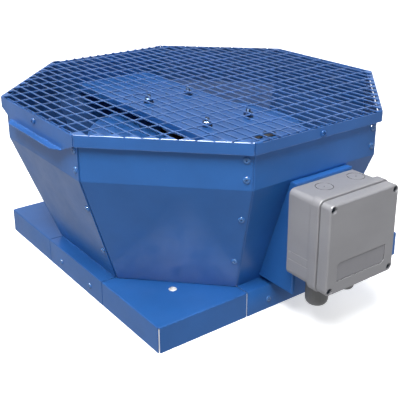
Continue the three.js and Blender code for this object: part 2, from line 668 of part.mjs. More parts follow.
// ---- Motor lead: from the stator, under the bridge, through the sloped wall into the box ----
function buildLead() {
  const wallY = -slopedWall(LEAD_EXIT_HEIGHT);
  const along = (distance) => new THREE.Vector3(
    0, wallY - distance * Math.cos(SLOPE_ANGLE), LEAD_EXIT_HEIGHT - distance * Math.sin(SLOPE_ANGLE),
  );
  const route = new THREE.CatmullRomCurve3([
    new THREE.Vector3(0, -60.5, 224), new THREE.Vector3(0, -80, 224), new THREE.Vector3(0, -115, 222.5),
    new THREE.Vector3(0, -160, 217), new THREE.Vector3(0, -205, 209), along(-30), along(-12), along(12),
    along(38),
  ]);
  const section = new THREE.Shape();
  section.absarc(0, 0, LEAD_RADIUS, 0, 2 * Math.PI, false);
  const lead = new THREE.ExtrudeGeometry(section, {
    steps: 16, curveSegments: 4, bevelEnabled: false, extrudePath: route,
  });
  addPart('motor_lead', lead, RUBBER);

  const grommet = turned([
    [LEAD_RADIUS + 0.4, -3.4], [10.5, -3.4], [10.5, -1.1], [7.5, -1.1], [7.5, 1.1], [10.5, 1.1],
    [10.5, 3.4], [LEAD_RADIUS + 0.4, 3.4],
  ], 14);
  const place = along(-SHEET / 2);
  grommet.rotateX(Math.PI / 2 + SLOPE_ANGLE);
  addPart('lead_grommet', grommet.translate(place.x, place.y, place.z), RUBBER);
}

buildCasing();
buildBase();
buildInletCone();
buildGuard();
buildBridge();
buildMotor();
buildImpeller();
buildBracket();
buildTerminalBox();
buildTerminals();
buildGlands();
buildLead();

export default model;
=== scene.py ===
"""The looks of the roof exhaust fan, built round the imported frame.

Shapes are drawn in millimetres in the casing's own frame, whose axis is the fan's axis, and
moved into the row frame when each piece is made."""

import json
import math

import bmesh
import bpy
from mathutils import Matrix, Vector


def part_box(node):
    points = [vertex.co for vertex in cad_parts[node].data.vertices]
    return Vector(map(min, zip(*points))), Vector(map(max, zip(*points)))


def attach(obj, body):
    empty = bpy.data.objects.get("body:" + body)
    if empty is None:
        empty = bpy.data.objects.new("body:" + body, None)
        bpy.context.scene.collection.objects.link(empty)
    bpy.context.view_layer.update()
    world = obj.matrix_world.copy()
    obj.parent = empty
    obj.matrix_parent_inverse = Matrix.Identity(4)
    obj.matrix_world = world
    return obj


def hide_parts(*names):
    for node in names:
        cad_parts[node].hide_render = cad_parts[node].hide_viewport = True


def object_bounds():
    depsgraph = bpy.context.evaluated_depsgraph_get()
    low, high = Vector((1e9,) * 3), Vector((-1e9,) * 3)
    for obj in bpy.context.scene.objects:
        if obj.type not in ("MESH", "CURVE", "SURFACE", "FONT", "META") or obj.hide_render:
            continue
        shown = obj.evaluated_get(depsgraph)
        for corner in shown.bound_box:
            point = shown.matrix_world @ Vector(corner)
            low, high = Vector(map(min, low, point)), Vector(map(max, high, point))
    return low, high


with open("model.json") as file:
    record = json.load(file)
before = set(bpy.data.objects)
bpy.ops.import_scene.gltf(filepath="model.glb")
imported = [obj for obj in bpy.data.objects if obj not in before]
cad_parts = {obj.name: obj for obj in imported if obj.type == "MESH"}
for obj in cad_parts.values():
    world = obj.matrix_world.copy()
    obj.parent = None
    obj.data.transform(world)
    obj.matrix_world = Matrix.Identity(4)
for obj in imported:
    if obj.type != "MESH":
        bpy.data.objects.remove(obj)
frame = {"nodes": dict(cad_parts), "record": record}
cad_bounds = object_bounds()

MM = 0.001


def cad_box(name):
    """The lowest and highest corners of a CAD node at rest, in millimetres of the row frame."""
    return [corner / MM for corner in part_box(name)]


# ---- Sizes in millimetres, from the frame where a CAD box gives them ----
guard_low, guard_high = cad_box("guard_rim")
AXIS_Y = (guard_low.y + guard_high.y) / 2
GUARD_HALF = (guard_high.y - guard_low.y) / 2
GUARD_TOP = guard_high.z
GUARD_GRIP_LOW = guard_low.z
GUARD_LIP = guard_high.x - GUARD_HALF
CASING_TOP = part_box("left_panel")[1].z / MM
CASING_TOP_HALF = -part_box("left_panel")[0].x / MM
BASE_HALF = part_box("base_corner_rear_right")[1].x / MM
BASE_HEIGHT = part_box("base_corner_rear_right")[1].z / MM
BRIDGE_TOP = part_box("motor_bridge")[1].z / MM
box_low, box_high = cad_box("terminal_box")
lid_low, lid_high = cad_box("terminal_box_lid")
BOX_X = (box_high + box_low).x / 2
BOX_Z = (box_high + box_low).z / 2
BOX_HALF = lid_high.x - BOX_X
# Distances in front of the axis.
BOX_BACK, RIM_END = AXIS_Y - box_high.y, AXIS_Y - box_low.y
LID_BACK, LID_FRONT = AXIS_Y - lid_high.y, AXIS_Y - lid_low.y

SHEET = 1.5
GAP = 0.4
JOINT_GAP = 1.8
WELD = 1e-3
CASING_BOTTOM_HALF = 214.5
BEND_HEIGHT = 217.0
JOINT_OFFSET = 86.3
FIXING_HOLE = 165.0
FIXING_HOLE_RADIUS = 6.0
FOLD_RADIUS = 2.4
SEAM_FLANGE = 12.0
GUARD_FOLD = 2.0
FOLD_START = GUARD_HALF - GUARD_FOLD
FOLD_ARC = GUARD_FOLD * math.pi / 2
GUARD_FLANGE = 17.0
LIP_FOLD = 2.0
LIP_ARC = LIP_FOLD * math.pi / 2
# Distance in the flat pattern at which the grip lip starts to bend outward.
LIP_START = FOLD_START + FOLD_ARC + GUARD_TOP - GUARD_FOLD - (GUARD_GRIP_LOW + LIP_FOLD + SHEET)
CELL_X = 16.4
CELL_Y = 37.2
GUARD_BAR = 2.2
LEAD_EXIT = 190.0
RIVET_HEIGHTS = (258.5, 231.5, 167.5, 90.5)
SKIRT_RIVETS = (-46, 48)
SKIRT_RIVET_HEIGHT = 15.8
BRIDGE_SHEET = 2
STUD_BORE = 4.4
# Each grommet's x, y and size against the larger one's.
GROMMETS = ((8, -169, 1.0), (-13.5, -170, 0.6))
EYE_RADIUS = 124.0
EYE_TOP = 97.0
BLADES = 7
BLADE_SWEEP = math.radians(38)
BOX_WALL = 3.0
BODY_INSET = 1.4
RIM_DEPTH = 16
RIM_PROUD = 2
KNOCKOUTS = (-18.0, 42.5)
KNOCKOUT_DEPTH = 1.5
LABEL_DEPTH = 0.9
OCTAGON = math.tan(math.pi / 8)
SLOPE = (CASING_TOP_HALF - CASING_BOTTOM_HALF) / (BEND_HEIGHT - BASE_HEIGHT)
SLOPE_ANGLE = math.atan(SLOPE)
SIDES = ("front", "right", "rear", "left")
CORNERS = ("front_right", "rear_right", "rear_left", "front_left")
QUARTERS = ((1, 1), (-1, 1), (-1, -1), (1, -1))
FIXING_HOLES = [(x * FIXING_HOLE, y * FIXING_HOLE) for x in (-1, 1) for y in (-1, 1)]


# ---- Camera and stage ----
def camera():
    data = bpy.data.cameras.new("camera")
    data.lens = 66.385
    data.sensor_width = 36.0
    data.shift_x = 0.0071
    data.shift_y = -0.1102
    data.clip_end = 60.0
    view = bpy.data.objects.new("camera", data)
    right = Vector((0.80687, -0.59070, -0.00563)).normalized()
    back = Vector((-0.55300, -0.75867, 0.34440)).normalized()
    up = back.cross(right).normalized()
    aim = Matrix((right, up, back)).transposed().to_4x4()
    place = Vector((-683.06, AXIS_Y - 937.09, BASE_HEIGHT + 544.15)) * MM
    view.matrix_world = Matrix.Translation(place) @ aim
    bpy.context.scene.collection.objects.link(view)
    bpy.context.scene.camera = view


def area_light(name, place, target, size, power):
    data = bpy.data.lights.new(name, "AREA")
    data.shape = "DISK"
    data.size = size
    data.energy = power
    light = bpy.data.objects.new(name, data)
    light.location = place
    light.rotation_euler = (Vector(target) - Vector(place)).to_track_quat("-Z", "Y").to_euler()
    bpy.context.scene.collection.objects.link(light)
    return light


def stage():
    scene = bpy.context.scene
    scene.view_settings.view_transform = "Standard"
    scene.world = studio_world()
    area_light("key", (-1.50, -1.24, 3.38), (0, 0, 0.15), size=2.0, power=165)
    # The spark only adds highlights.
    spark = area_light("spark", (-0.95, -0.45, 2.6), (0, 0, 0.2), size=0.6, power=420)
    spark.visible_diffuse = False

    bm = bmesh.new()
    bmesh.ops.create_circle(bm, cap_ends=True, radius=14.0, segments=96)
    floor = bpy.data.objects.new("floor", bpy.data.meshes.new("floor"))
    bm.to_mesh(floor.data)
    bm.free()
    floor.location.z = cad_bounds[0][2] - 0.0005
    floor.data.materials.append(floor_material())
    floor.visible_diffuse = False
    floor.visible_glossy = False
    bpy.context.scene.collection.objects.link(floor)


def studio_world():
    """A white room, brighter above and behind the object than in front, and even below the horizon."""
    world = bpy.data.worlds.new("studio")
    world.use_nodes = True
    tree = world.node_tree

    def add(kind, **inputs):
        made = tree.nodes.new(kind)
        for key, value in inputs.items():
            made.inputs[key.replace("_", " ")].default_value = value
        return made

    direction = add("ShaderNodeTexCoord").outputs["Generated"]
    toward_light = add("ShaderNodeVectorMath")
    toward_light.operation = "DOT_PRODUCT"
    toward_light.inputs[1].default_value = (0.35, 0.55, 0.76)
    above = add("ShaderNodeMapRange", From_Min=-0.2, From_Max=1.0, To_Min=0.22, To_Max=0.85)
    split = add("ShaderNodeSeparateXYZ")
    horizon = add("ShaderNodeMapRange", From_Min=-0.04, From_Max=0.04)
    both = add("ShaderNodeMix")
    below = both.inputs[2]
    below.default_value = 0.68
    background = tree.nodes["Background"]
    background.inputs["Color"].default_value = (1.0, 1.0, 1.0, 1)
    for source, target in (
        (direction, toward_light.inputs[0]),
        (toward_light.outputs["Value"], above.inputs["Value"]),
        (direction, split.inputs[0]),
        (split.outputs["Z"], horizon.inputs["Value"]),
        (horizon.outputs["Result"], both.inputs[0]),
        (above.outputs["Result"], both.inputs[3]),
        (both.outputs[0], background.inputs["Strength"]),
    ):
        tree.links.new(source, target)
    return world


# ---- Materials ----
class Nodes:
    """A short way to write a node material."""

    def __init__(self, name):
        self.material = bpy.data.materials.new(name)
        self.material.use_nodes = True
        self.tree = self.material.node_tree
        self.shader = self.tree.nodes["Principled BSDF"]
        self.coords = self.tree.nodes.new("ShaderNodeTexCoord").outputs["Object"]

    def node(self, kind, sockets, **values):
        made = self.tree.nodes.new(kind)
        for key, value in values.items():
            setattr(made, key, value)
        for key, value in sockets.items():
            self.put(made.inputs[key], value)
        return made

    def put(self, socket, value):
        if isinstance(value, bpy.types.NodeSocket):
            self.tree.links.new(value, socket)
        else:
            socket.default_value = value

    def noise(self, scale, detail=3.0, rough=0.5, stretch=(1, 1, 1)):
        mapping = self.node("ShaderNodeMapping", {"Scale": stretch, "Vector": self.coords})
        sockets = {"Scale": scale, "Detail": detail, "Roughness": rough, "Vector": mapping.outputs["Vector"]}
        return self.node("ShaderNodeTexNoise", sockets).outputs["Fac"]

    def patches(self, scale, detail, rough=0.5, start=0.0, end=1.0):
        """Soft patches of noise between two values."""
        return self.ramp(self.noise(scale, detail, rough), 0.3, 0.7, start, end)

    def ramp(self, value, low, high, start=0.0, end=1.0):
        sockets = {"Value": value, "From Min": low, "From Max": high, "To Min": start, "To Max": end}
        return self.node("ShaderNodeMapRange", sockets).outputs["Result"]

    def mix(self, amount, first, second):
        return self.node("ShaderNodeMix", {0: amount, 6: first, 7: second}, data_type="RGBA").outputs[2]

    def times(self, first, second):
        return self.node("ShaderNodeMath", {0: first, 1: second}, operation="MULTIPLY").outputs[0]

    def edges(self):
        """1 on edges and 0 on flats: how far the rounded normal leans from the true one."""
        bevel = self.node("ShaderNodeBevel", {"Radius": 0.0011}, samples=6)
        normals = {0: bevel.outputs["Normal"], 1: self.node("ShaderNodeNewGeometry", {}).outputs["Normal"]}
        dot = self.node("ShaderNodeVectorMath", normals, operation="DOT_PRODUCT")
        return self.ramp(dot.outputs["Value"], 0.98, 0.75)

    def bump(self, height, strength, distance, below=None):
        sockets = {"Height": height, "Strength": strength, "Distance": distance}
        if below is not None:
            sockets["Normal"] = below
        return self.node("ShaderNodeBump", sockets).outputs["Normal"]

    def finish(self, color, roughness, normal=None, **constants):
        self.put(self.shader.inputs["Base Color"], color)
        self.put(self.shader.inputs["Roughness"], roughness)
        if normal is not None:
            self.put(self.shader.inputs["Normal"], normal)
        for key, value in constants.items():
            self.shader.inputs[key.replace("_", " ")].default_value = value
        return self.material


def tint(color, share, lift=0.0):
    """A colour scaled and lifted, with full alpha."""
    return tuple(share * c + lift for c in color) + (1,)


def floor_material():
    n = Nodes("floor_white")
    cloud = n.noise(1.2, 2.0)
    color = n.mix(n.ramp(cloud, 0.3, 0.7), (0.90, 0.90, 0.905, 1), (0.93, 0.93, 0.93, 1))
    n.shader.inputs["Emission Color"].default_value = (1, 1, 1, 1)
    return n.finish(color, n.ramp(cloud, 0.3, 0.7, 0.75, 0.85), Emission_Strength=0.55)


def powder_coat(name, color, rough=0.33, shine=0.36, edge_wear_and_highlight=0.09, edge_wear_and_highlight_share=0.55):
    """Semi-gloss powder coat: fine orange peel, slow random changes of tone, paler edges (partly rubbed
    wear, partly painted highlight), a little dust.
    """
    n = Nodes(name)
    body = n.mix(n.patches(7.0, 4.0, 0.6), tint(color, 0.86), tint(color, 1.12))
    worn_and_lit_edges = n.times(n.edges(), n.ramp(n.noise(60.0, 4.0, 0.65), 0.35, 0.75))
    # Paler edges: partly rubbed wear and partly painted highlight.
    body = n.mix(n.times(worn_and_lit_edges, edge_wear_and_highlight_share), body, tint(color, 0.8, edge_wear_and_highlight))
    dust = n.ramp(n.noise(420.0, 2.0), 0.70, 0.78)
    body = n.mix(n.times(dust, 0.06), body, (0.45, 0.50, 0.60, 1))
    peel, sag = n.noise(950.0, 2.0), n.noise(160.0, 2.0)
    normal = n.bump(peel, 0.10, 0.0002, n.bump(sag, 0.06, 0.0006))
    smear = n.patches(22.0, 5.0, 0.65, rough - 0.05, rough + 0.07)
    return n.finish(body, smear, normal, Specular_IOR_Level=shine)


def galvanised():
    """Galvanised sheet with its crystal pattern."""
    n = Nodes("galvanised_sheet")
    cells = n.node("ShaderNodeTexVoronoi", {"Scale": 95.0, "Vector": n.coords}, feature="F1")
    spangle = n.node("ShaderNodeSeparateColor", {"Color": cells.outputs["Color"]})
    color = n.mix(spangle.outputs["Red"], (0.38, 0.40, 0.42, 1), (0.56, 0.58, 0.60, 1))
    scratch = n.noise(300.0, 3.0, 0.6, (1, 12, 1))
    roughness = n.ramp(spangle.outputs["Green"], 0, 1, 0.34, 0.52)
    return n.finish(color, roughness, n.bump(scratch, 0.05, 0.0002), Metallic=0.85)


def zinc(name, color=(0.15, 0.18, 0.23), rough=0.24):
    n = Nodes(name)
    grain = n.noise(700.0, 3.0, 0.6)
    patch = n.noise(90.0, 3.0, 0.6)
    body = n.mix(n.ramp(patch, 0.35, 0.7), tint(color, 0.7), tint(color, 1))
    roughness = n.ramp(patch, 0.3, 0.7, rough, rough + 0.18)
    return n.finish(body, roughness, n.bump(grain, 0.12, 0.0001), Metallic=0.9)


def moulded(name, color, rough=0.42):
    """Moulded plastic: a fine spark-eroded grain, faint flow marks and paler edges."""
    n = Nodes(name)
    flow = n.noise(9.0, 3.0, 0.55, (1, 1, 2.5))
    body = n.mix(n.ramp(flow, 0.3, 0.7), tint(color, 0.93), tint(color, 1.05))
    body = n.mix(n.times(n.edges(), 0.6), body, tint(color, 0.8, 0.16))
    texture = n.noise(1400.0, 2.0, 0.6)
    roughness = n.patches(30.0, 4.0, 0.6, rough - 0.04, rough + 0.08)
    return n.finish(body, roughness, n.bump(texture, 0.06, 0.0002))


def rubber():
    n = Nodes("black_rubber")
    mottle = n.noise(120.0, 4.0, 0.6)
    color = n.mix(n.ramp(mottle, 0.3, 0.7), (0.009, 0.010, 0.014, 1), (0.022, 0.024, 0.032, 1))
    return n.finish(color, n.ramp(mottle, 0.3, 0.7, 0.6, 0.8), n.bump(n.noise(900.0), 0.1, 0.0002),
                    Specular_IOR_Level=0.15)


def hole_painted_light_sleeve():
    """Pale liner of a fixing hole: painted light, so the hole looks bright through."""
    n = Nodes("hole_painted_light_sleeve")
    cloud = n.noise(300.0, 3.0, 0.6)
    color = n.mix(n.ramp(cloud, 0.3, 0.7), (0.86, 0.86, 0.87, 1), (0.93, 0.93, 0.94, 1))
    return n.finish(color, n.ramp(cloud, 0.3, 0.7, 0.35, 0.5), n.bump(n.noise(900.0), 0.05, 0.0001))


def wound_copper():
    n = Nodes("varnished_copper")
    turns = {"Scale": 260.0, "Distortion": 1.5, "Vector": n.coords}
    wave = n.node("ShaderNodeTexWave", turns, wave_type="RINGS", rings_direction="Z")
    color = n.mix(wave.outputs["Fac"], (0.20, 0.06, 0.02, 1), (0.62, 0.25, 0.10, 1))
    roughness = n.ramp(wave.outputs["Fac"], 0, 1, 0.4, 0.28)
    return n.finish(color, roughness, n.bump(wave.outputs["Fac"], 0.5, 0.0004), Metallic=0.8)


MATERIALS = {
    "blue_coat": powder_coat("blue_powder_coat", (0.020, 0.118, 0.382)),
    "galvanised": galvanised(),
    "zinc_steel": zinc("zinc_plated_steel"),
    "box_plastic": moulded("grey_box_plastic", (0.275, 0.275, 0.295)),
    "dark_plastic": moulded("dark_gland_nylon", (0.165, 0.168, 0.174), 0.5),
    "rubber": rubber(),
    "copper_wire": wound_copper(),
    "black_coat": powder_coat("black_motor_paint", (0.018, 0.019, 0.022), 0.45),
}

# Darker navy for the panels' inner faces: painted shade for the dim inside of the casing.
INNER_PAINTED_SHADE = powder_coat("inner_painted_shade_coat", (0.009, 0.060, 0.205), 0.55, 0.2)
# Darker plastic for the knock-out grooves: painted shade in the grooves.
GROOVE_PAINTED_SHADE = moulded("groove_painted_shade_plastic", (0.085, 0.085, 0.092), 0.6)
LABEL_FIELD = moulded("label_field_plastic", (0.245, 0.245, 0.268), 0.52)
# The guard's much paler edges are painted highlights that light up its thin bars.
GUARD_COAT = powder_coat("guard_coat", (0.024, 0.120, 0.385), edge_wear_and_highlight=0.30, edge_wear_and_highlight_share=0.95)
# Rivets: glossier than the casing, with a paler blue that is painted highlight.
RIVET_COAT = powder_coat("rivet_coat", (0.035, 0.145, 0.40), 0.16, 0.8)
# Blue-tinted steel for the studs: painted reflection of the blue parts around them.
STUD_STEEL = zinc("stud_steel_painted_blue_reflection", (0.07, 0.11, 0.19), 0.2)


# ---- Mesh helpers ----
def as_object(name, bm):
    """Makes an object from a bmesh in casing millimetres."""
    bmesh.ops.remove_doubles(bm, verts=bm.verts, dist=1e-4)
    bm.transform(Matrix.Scale(MM, 4) @ at(0, AXIS_Y))
    mesh = bpy.data.meshes.new(name)
    bm.to_mesh(mesh)
    bm.free()
    made = bpy.data.objects.new(name, mesh)
    bpy.context.scene.collection.objects.link(made)
    return made


def combine(piece, operation, draw):
    """Joins or cuts a solid, drawn in casing millimetres, to or from a piece."""
    bm = bmesh.new()
    draw(bm)
    tool = as_object("tool", bm)
    modifier = piece.modifiers.new("boolean", "BOOLEAN")
    modifier.operation = operation
    modifier.object = tool
    modifier.solver = "EXACT"
    modifier.use_self = True
    apply_modifiers(piece)
    bpy.data.meshes.remove(tool.data)


def finish_piece(name, bm, slot, nodes=(), body="housing", bevel=0.0, segments=2, angle=32, solidify=0.0,
                 joins=(), cuts=(), material=None):
    """Turns a bmesh in casing millimetres into a finished piece that rides on a body."""
    piece = as_object(name, bm)
    if solidify:
        thick = piece.modifiers.new("thickness", "SOLIDIFY")
        thick.thickness = solidify * MM
        thick.offset = -1
        thick.use_even_offset = True
        apply_modifiers(piece)
    for draw in joins:
        combine(piece, "UNION", draw)
    for draw in cuts:
        combine(piece, "DIFFERENCE", draw)
    settle(piece, bevel, segments, angle)
    piece.data.materials.clear()
    piece.data.materials.append(material or MATERIALS[slot])
    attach(piece, body)
    if nodes:
        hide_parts(*nodes)
    return piece


def settle(piece, bevel, segments, angle):
    """Rounds the sharp edges, smooths the shading and applies it all."""
    if bevel:
        rounding = piece.modifiers.new("rounding", "BEVEL")
        rounding.width = bevel * MM
        rounding.segments = segments
        rounding.limit_method = "ANGLE"
        rounding.angle_limit = math.radians(angle)
    apply_modifiers(piece)
    sharpen(piece.data, angle)
    weighted = piece.modifiers.new("normals", "WEIGHTED_NORMAL")
    weighted.keep_sharp = True
    apply_modifiers(piece)


def apply_modifiers(piece):
    deps = bpy.context.evaluated_depsgraph_get()
    done = bpy.data.meshes.new_from_object(piece.evaluated_get(deps))
    piece.modifiers.clear()
    old = piece.data
    piece.data = done
    bpy.data.meshes.remove(old)


def sharpen(mesh, angle):
    bm = bmesh.new()
    bm.from_mesh(mesh)
    limit = math.radians(angle)
    for face in bm.faces:
        face.smooth = True
    for edge in bm.edges:
        edge.smooth = len(edge.link_faces) == 2 and edge.calc_face_angle(0.0) < limit
    bm.to_mesh(mesh)
    bm.free()


def weld(bm):
    bmesh.ops.remove_doubles(bm, verts=bm.verts, dist=WELD)


def face_out(bm):
    bmesh.ops.recalc_face_normals(bm, faces=bm.faces)


def grid(bm, rows, closed=False):
    """Quads between rows of points, each row the same length."""
    made = [[bm.verts.new(point) for point in row] for row in rows]
    width = len(rows[0])
    for first, second in zip(made, made[1:]):
        for i in range(width if closed else width - 1):
            j = (i + 1) % width
            bm.faces.new((first[i], second[i], second[j], first[j]))
    return made


def lathe(bm, pairs, segments, matrix=None):
    """A turned solid about Z from (radius, height) pairs, a ring or from axis to axis."""
    rings = []
    for radius, height in pairs:
        spots = circle(radius, count=segments) if radius else [(0, 0)]
        rings.append([bm.verts.new((x, y, height)) for x, y in spots])
    is_ring = pairs[0][0] > 0
    faces = []
    for low, high in zip(rings, rings[1:] + (rings[:1] if is_ring else [])):
        for i in range(segments):
            j = (i + 1) % segments
            corners = (low[i % len(low)], low[j % len(low)], high[j % len(high)], high[i % len(high)])
            faces.append(bm.faces.new(tuple(dict.fromkeys(corners))))
    if matrix is not None:
        verts = list({vert for ring in rings for vert in ring})
        bmesh.ops.transform(bm, matrix=matrix, verts=verts)
    bmesh.ops.recalc_face_normals(bm, faces=faces)
    return faces


def rod(radius, low, high):
    """The (radius, height) pairs of a plain round rod."""
    return [(0, low), (radius, low), (radius, high), (0, high)]


def tube(inner, outer, low, high):
    """The (radius, height) pairs of a plain ring."""
    return [(inner, low), (outer, low), (outer, high), (inner, high)]


def prism(bm, points, low, high, matrix=None):
    """An outline in XY made into a solid between two heights."""
    bottom = [bm.verts.new((x, y, low)) for x, y in points]
    top = [bm.verts.new((x, y, high)) for x, y in points]
    faces = [bm.faces.new(bottom[::-1]), bm.faces.new(top)]
    count = len(points)
    for i in range(count):
        j = (i + 1) % count
        faces.append(bm.faces.new((bottom[i], bottom[j], top[j], top[i])))
    if matrix is not None:
        bmesh.ops.transform(bm, matrix=matrix, verts=bottom + top)
    bmesh.ops.recalc_face_normals(bm, faces=faces)
    return faces


def block(bm, low, high, matrix=None):
    points = [(low[0], low[1]), (high[0], low[1]), (high[0], high[1]), (low[0], high[1])]
    return prism(bm, points, low[2], high[2], matrix)


def fill(bm, loops, height=0.0):
    """A flat face with holes: the first loop is its outline."""
    edges = []
    for loop in loops:
        verts = [bm.verts.new((x, y, height)) for x, y in loop]
        edges += [bm.edges.new((verts[i], verts[(i + 1) % len(verts)])) for i in range(len(verts))]
    made = bmesh.ops.triangle_fill(bm, use_beauty=True, use_dissolve=False, edges=edges)
    faces = [item for item in made["geom"] if isinstance(item, bmesh.types.BMFace)]
    for face in faces:
        if face.normal.z < 0:
            face.normal_flip()
    return faces


def circle(radius, x=0.0, y=0.0, count=36):
    steps = (2 * math.pi * i / count for i in range(count))
    return [(x + radius * math.cos(a), y + radius * math.sin(a)) for a in steps]


def at(x, y, z=0):
    return Matrix.Translation((x, y, z))


def turn(degrees):
    return Matrix.Rotation(math.radians(degrees), 4, "Z")


def spin(bm, angle):
    bmesh.ops.rotate(bm, verts=bm.verts, matrix=Matrix.Rotation(angle, 3, "Z"))


def outward(side):
    """The direction in which one of the eight sides faces."""
    angle = side * math.pi / 4
    return Vector((math.sin(angle), -math.cos(angle), 0))


def facing_front(x, distance, z, lean=0.0):
    """Turns a piece drawn with +Z outward so that it points to -Y, at a distance from the axis."""
    return at(x, -distance, z) @ Matrix.Rotation(math.pi / 2 + lean, 4, "X")


# ---- Casing ----
def sloped_wall(height):
    return CASING_BOTTOM_HALF + (height - BASE_HEIGHT) * SLOPE


def bend(previous, corner, following, radius, steps=5):
    """Points of an arc that rounds a corner of a profile."""
    corner = Vector(corner)
    into = (corner - Vector(previous)).normalized()
    out = (Vector(following) - corner).normalized()
    half = into.angle(out) / 2
    reach = radius * math.tan(half)
    start = corner - into * reach
    centre = corner + (out - into).normalized() * radius / math.cos(half)
    first = start - centre
    side = 1 if into.cross(out) > 0 else -1
    points = []
    for i in range(steps + 1):
        angle = side * 2 * half * i / steps
        points.append(tuple(centre + Matrix.Rotation(angle, 2) @ first))
    return points


def rounded_profile(points, radius):
    line = [points[0]]
    for before, corner, after in zip(points, points[1:], points[2:]):
        line += bend(before, corner, after, radius)
    return line + [points[-1]]


def panel_row(distance, height, flange, half):
    """One level of a casing panel, from the hidden seam flange on the left to the right edge."""
    seam = distance * OCTAGON
    edge_gap = 0.25
    hidden = (SHEET + GAP) * 1.05
    along = Vector((-math.sqrt(0.5), math.sqrt(0.5)))
    corner = Vector((-seam + hidden * math.sqrt(2), -distance))
    tip = corner + along * flange
    arc = bend(tip, corner, (0, -distance), 1.3, 3)
    line = [tuple(tip)] + arc + [(-half, -distance), (half, -distance), (seam - edge_gap, -distance)]
    return [(x, y, height) for x, y in line]


def casing_panel(name, number, is_side):
    bm = bmesh.new()
    clearance = 0.0 if is_side else 0.9
    bottom = BASE_HEIGHT + clearance
    profile = [(CASING_TOP_HALF, CASING_TOP), (CASING_TOP_HALF, BEND_HEIGHT), (sloped_wall(bottom), bottom)]
    wall = rounded_profile(profile, FOLD_RADIUS * 2)
    last = wall[-1]
    if is_side:
        foot_fold = 1.4
        wall[-1] = (sloped_wall(BASE_HEIGHT + foot_fold), BASE_HEIGHT + foot_fold)
    half = JOINT_OFFSET - JOINT_GAP / 2
    grid(bm, [panel_row(n, z, SEAM_FLANGE, half) for n, z in wall])
    if is_side:
        skirt = rounded_profile([
            wall[-1], (last[0], BASE_HEIGHT), (BASE_HALF, BASE_HEIGHT), (BASE_HALF, 0),
        ], 1.2)
        grid(bm, [[(-half, -n, z), (half, -n, z)] for n, z in skirt])
    weld(bm)
    spin(bm, number * math.pi / 4)
    piece = finish_piece("skin_" + name, bm, "blue_coat", [name], bevel=0.35, solidify=SHEET,
                         cuts=[lead_hole] if name == "front_panel" else ())
    # Faces that point inward, above the base, get the darker coat: painted shade inside the casing.
    piece.data.materials.append(INNER_PAINTED_SHADE)
    out = outward(number)
    for face in piece.data.polygons:
        if face.normal.dot(out) < -0.6 and face.center.z > BASE_HEIGHT * MM:
            face.material_index = 1


def lead_hole(tool):
    place = facing_front(0, sloped_wall(LEAD_EXIT), LEAD_EXIT, SLOPE_ANGLE)
    lathe(tool, rod(7.9, -8, 8), 32, place)


def base_corner(name, number):
    """A three-cornered plate with two skirts and an open slit between them."""
    bm = bmesh.new()
    inner = JOINT_OFFSET + JOINT_GAP / 2
    hidden = 196.0
    radius = 1.8
    edge = BASE_HALF - radius
    slit = BASE_HALF - 2.4
    hole = circle(FIXING_HOLE_RADIUS, FIXING_HOLE, -FIXING_HOLE)
    outline = [(inner, -edge), (slit, -edge), (edge, -slit), (edge, -inner)]
    outline += [(hidden, -inner), (inner, -hidden)]
    fill(bm, [outline, hole], BASE_HEIGHT)
    drop = rounded_profile([(edge - 5, BASE_HEIGHT), (BASE_HALF, BASE_HEIGHT), (BASE_HALF, 0)], radius)[1:]
    grid(bm, [[(inner, -n, z), (slit, -n, z)] for n, z in drop])
    grid(bm, [[(n, -slit, z), (n, -inner, z)] for n, z in drop])
    weld(bm)
    spin(bm, number * math.pi / 2)
    finish_piece("skin_" + name, bm, "blue_coat", [name], bevel=0.35, solidify=SHEET)


def rivet(bm, matrix, radius=4.9, height=2.3):
    """A blind rivet's domed head with the hole its mandrel leaves."""
    mouth, brim = 1.9, 0.35
    pairs = [(0, 0.2), (0.9, 0.2), (1.3, height - 0.1), (mouth, height)]
    for i in range(1, 6):
        angle = i / 5 * math.pi / 2
        pairs.append((mouth + (radius - mouth) * math.sin(angle), brim + (height - brim) * math.cos(angle)))
    pairs += [(radius, 0), (0, 0)]
    lathe(bm, pairs, 20, matrix)


def rivets():
    bm = bmesh.new()
    inset = 8.0
    for side in range(8):
        for height in RIVET_HEIGHTS:
            sloped = height < BEND_HEIGHT
            distance = sloped_wall(height) if sloped else CASING_TOP_HALF
            lean = SLOPE_ANGLE if sloped else 0.0
            place = facing_front(distance * OCTAGON - inset, distance, height, lean)
            rivet(bm, turn(side * 45) @ place)
    for side in range(4):
        for x in SKIRT_RIVETS:
            place = facing_front(x, BASE_HALF, SKIRT_RIVET_HEIGHT)
            rivet(bm, turn(side * 90) @ place, radius=4.6, height=2.1)
    finish_piece("casing_rivets", bm, "blue_coat", angle=50, material=RIVET_COAT)


# ---- Guard ----
def guard_cells():
    """The punched cells as flat rectangles; those at the rim run just over the fold."""
    reach = FOLD_START + FOLD_ARC
    side_reach = FOLD_START + 1.2
    corner_sum = FOLD_START * math.sqrt(2) + 4.3
    shortest = 3.5
    bar = GUARD_BAR / 2
    cells = []
    last_column = int((reach + CELL_X / 2) / CELL_X)
    last_row = int(reach / CELL_Y)
    for column in range(-last_column, last_column + 1):
        left = max((column - 0.5) * CELL_X + bar, -side_reach)
        right = min((column + 0.5) * CELL_X - bar, side_reach)
        if right - left < shortest + 0.5:
            continue
        outer = max(-left, right)
        limit = min(reach, corner_sum - outer)
        if outer > side_reach - 1:
            limit = 3 * CELL_Y - bar
        for row in range(-last_row - 1, last_row + 1):
            front = max(row * CELL_Y + bar, -limit)
            back = min((row + 1) * CELL_Y - bar, limit)
            if back - front > shortest:
                cells.append([(left, front), (right, front), (right, back), (left, back)])
    return cells


